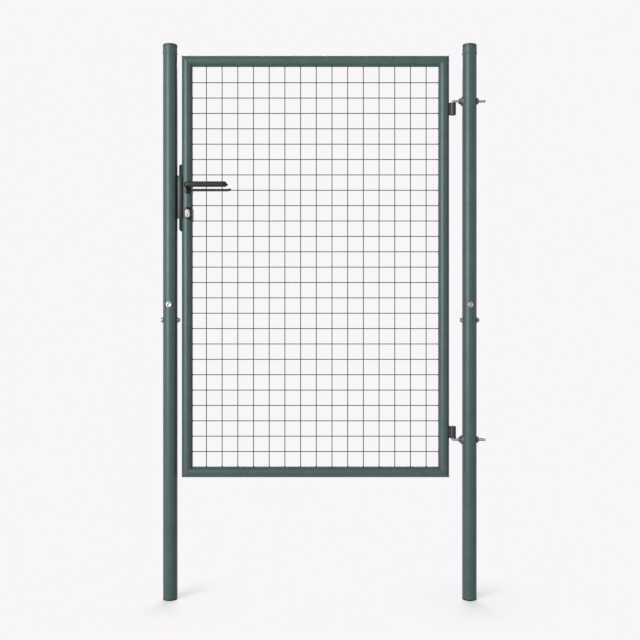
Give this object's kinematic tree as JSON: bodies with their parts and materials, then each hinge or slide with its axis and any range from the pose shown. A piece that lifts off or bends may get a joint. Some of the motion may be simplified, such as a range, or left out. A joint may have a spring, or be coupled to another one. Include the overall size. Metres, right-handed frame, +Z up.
{
  "type": "pedestrian gate",
  "caption": "Single-leaf pedestrian gate of welded wire mesh in a round tube frame, hung between two round posts, with lever lock, stop plate and adjustable stud hinges.",
  "frame": {"origin": "centre of the hinge post's foot, on the flat face that stands on or in the ground", "axes": "+Z up along the posts, +X from the leaf towards the hinge post, +Y to the side that the leaf opens to"},
  "size_m": [1.0384, 0.142, 1.774],
  "materials": {
    "frame_paint": "satin",
    "mesh_wire": "satin",
    "zinc_steel": "satin",
    "black_metal": "satin",
    "dark_plate": "matt",
    "lever_polymer": "satin",
    "cover_polymer": "satin",
    "cylinder_nickel": "satin",
    "sealed_steel": "satin"
  },
  "bodies": {
    "posts": {"hinge_post_lower": "frame_paint", "hinge_post_upper": "frame_paint", "hinge_post_spigot": "sealed_steel", "hinge_post_cap": "frame_paint", "hinge_post_foot_plug": "cover_polymer", "hinge_post_joint_bolts": "zinc_steel", "hinge_post_joint_nuts": "zinc_steel", "hinge_post_joint_washers": "zinc_steel", "latch_post_lower": "frame_paint", "latch_post_upper": "frame_paint", "latch_post_spigot": "sealed_steel", "latch_post_cap": "frame_paint", "latch_post_foot_plug": "cover_polymer", "latch_post_joint_bolts": "zinc_steel", "latch_post_joint_nuts": "zinc_steel", "latch_post_joint_washers": "zinc_steel", "upper_hinge_stud": "zinc_steel", "upper_hinge_saddle": "zinc_steel", "upper_hinge_washers": "zinc_steel", "upper_hinge_nuts": "zinc_steel", "lower_hinge_stud": "zinc_steel", "lower_hinge_saddle": "zinc_steel", "lower_hinge_washers": "zinc_steel", "lower_hinge_nuts": "zinc_steel", "strike_plate": "dark_plate", "strike_screws": "zinc_steel"},
    "leaf": {"top_rail": "frame_paint", "bottom_rail": "frame_paint", "hinge_stile": "frame_paint", "latch_stile": "frame_paint", "mesh_panel": "mesh_wire", "upper_hinge_sleeve": "black_metal", "lower_hinge_sleeve": "black_metal", "lock_case": "black_metal", "lock_front_plate": "black_metal", "dead_bolt": "cylinder_nickel", "lock_cylinder": "cylinder_nickel", "front_cylinder_cover": "cover_polymer", "rear_cylinder_cover": "cover_polymer", "front_spindle_cover": "cover_polymer", "rear_spindle_cover": "cover_polymer"},
    "handle": {"front_lever": "lever_polymer", "rear_lever": "lever_polymer", "spindle": "zinc_steel"},
    "latch": {"latch_bolt": "cylinder_nickel"}
  },
  "joints": [
    {"name": "gate_swing", "type": "hinge", "parent": "posts", "child": "leaf", "pos_m": [-0.054, 0, 1.0515], "axis": [0, 0, -1], "range_deg": [0, 90]},
    {"name": "handle_turn", "type": "hinge", "parent": "leaf", "child": "handle", "pos_m": [-0.8982, 0, 1.318], "axis": [0, 1, 0], "range_deg": [0, 35], "stiffness_Nm_per_rad": 1.2, "springref_deg": -20.05},
    {"name": "latch_slide", "type": "slide", "parent": "leaf", "child": "latch", "axis": [1, 0, 0], "range_m": [0, 0.0033]}
  ],
  "couplings": [
    {"joint": "latch_slide", "follows": "handle_turn", "m_per_rad": 0.0054}
  ]
}
